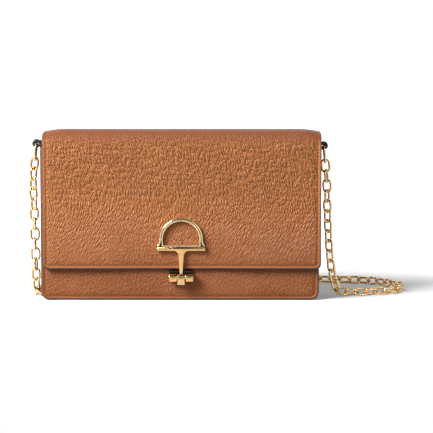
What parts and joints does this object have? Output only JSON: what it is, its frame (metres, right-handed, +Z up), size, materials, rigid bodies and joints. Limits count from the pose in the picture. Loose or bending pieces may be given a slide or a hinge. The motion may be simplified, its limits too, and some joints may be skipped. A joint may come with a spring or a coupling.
{
  "type": "wallet on chain",
  "caption": "Slim leather flap bag with accordion sides, a zip pocket, card slots, a half-bit clasp that hooks over a pin, and a cable-link chain strap.",
  "frame": {"origin": "middle of the bag's footprint on the table, clasp included and chain left out", "axes": "+X towards the bag's right side as seen from the front, -Y out of the front panel and clasp, +Z up"},
  "size_m": [0.2608, 0.0948, 0.1155],
  "materials": {
    "tan_leather": "pebbled, semi-matt, warm tan",
    "lining_leather": "smooth tan lining",
    "painted_edge_leather": "dark edge paint",
    "polished_gold_brass": "polished, gold plated",
    "black_nickel": "polished black",
    "zip_tape": "woven tape"
  },
  "bodies": {
    "bag": {"back_panel": "tan_leather", "front_panel": "tan_leather", "front_gusset": "tan_leather", "rear_gusset": "tan_leather", "pocket_gusset": "tan_leather", "back_lining": "lining_leather", "front_lining": "lining_leather", "zip_pocket_front": "lining_leather", "zip_pocket_back": "lining_leather", "card_slot_1": "lining_leather", "card_slot_2": "lining_leather", "card_slot_3": "lining_leather", "card_slot_4": "lining_leather", "card_slot_5": "lining_leather", "card_slot_6": "lining_leather", "left_strap_loop": "painted_edge_leather", "right_strap_loop": "painted_edge_leather", "zip_teeth": "polished_gold_brass", "zip_stop_left": "polished_gold_brass", "zip_stop_right": "polished_gold_brass", "barrel_left": "polished_gold_brass", "barrel_right": "polished_gold_brass", "keeper_pin": "polished_gold_brass", "keeper_backplate": "polished_gold_brass", "keeper_rivet_left": "polished_gold_brass", "keeper_rivet_right": "polished_gold_brass", "left_loop_rivet": "polished_gold_brass", "right_loop_rivet": "polished_gold_brass", "left_end_link": "polished_gold_brass", "right_end_link": "polished_gold_brass", "chain_left_drop": "polished_gold_brass", "chain_hank_1": "polished_gold_brass", "chain_hank_2": "polished_gold_brass", "chain_hank_3": "polished_gold_brass", "chain_hank_4": "polished_gold_brass", "chain_hank_5": "polished_gold_brass", "chain_floor_loop": "polished_gold_brass", "chain_right_drop": "polished_gold_brass", "keeper_plate": "black_nickel", "zip_tape_front": "zip_tape", "zip_tape_back": "zip_tape"},
    "flap": {"flap_shell": "tan_leather", "flap_lining": "lining_leather", "d_bow": "polished_gold_brass", "clasp_bar": "polished_gold_brass", "clasp_backplate": "polished_gold_brass", "clasp_screw_left": "polished_gold_brass", "clasp_screw_right": "polished_gold_brass", "clasp_button": "polished_gold_brass"},
    "slider": {"zip_slider": "polished_gold_brass"},
    "pull": {"zip_pull": "polished_gold_brass"}
  },
  "joints": [
    {"name": "flap_hinge", "type": "hinge", "parent": "bag", "child": "flap", "pos_m": [0, 0.01988, 0.10565], "axis": [-1, 0, 0], "range_deg": [0, 180]},
    {"name": "zip_slide", "type": "slide", "parent": "bag", "child": "slider", "axis": [1, 0, 0], "range_m": [0, 0.142]},
    {"name": "zip_pull_hinge", "type": "hinge", "parent": "slider", "child": "pull", "pos_m": [-0.071, 0.00387, 0.0934], "axis": [0, -1, 0], "range_deg": [0, 160]}
  ]
}
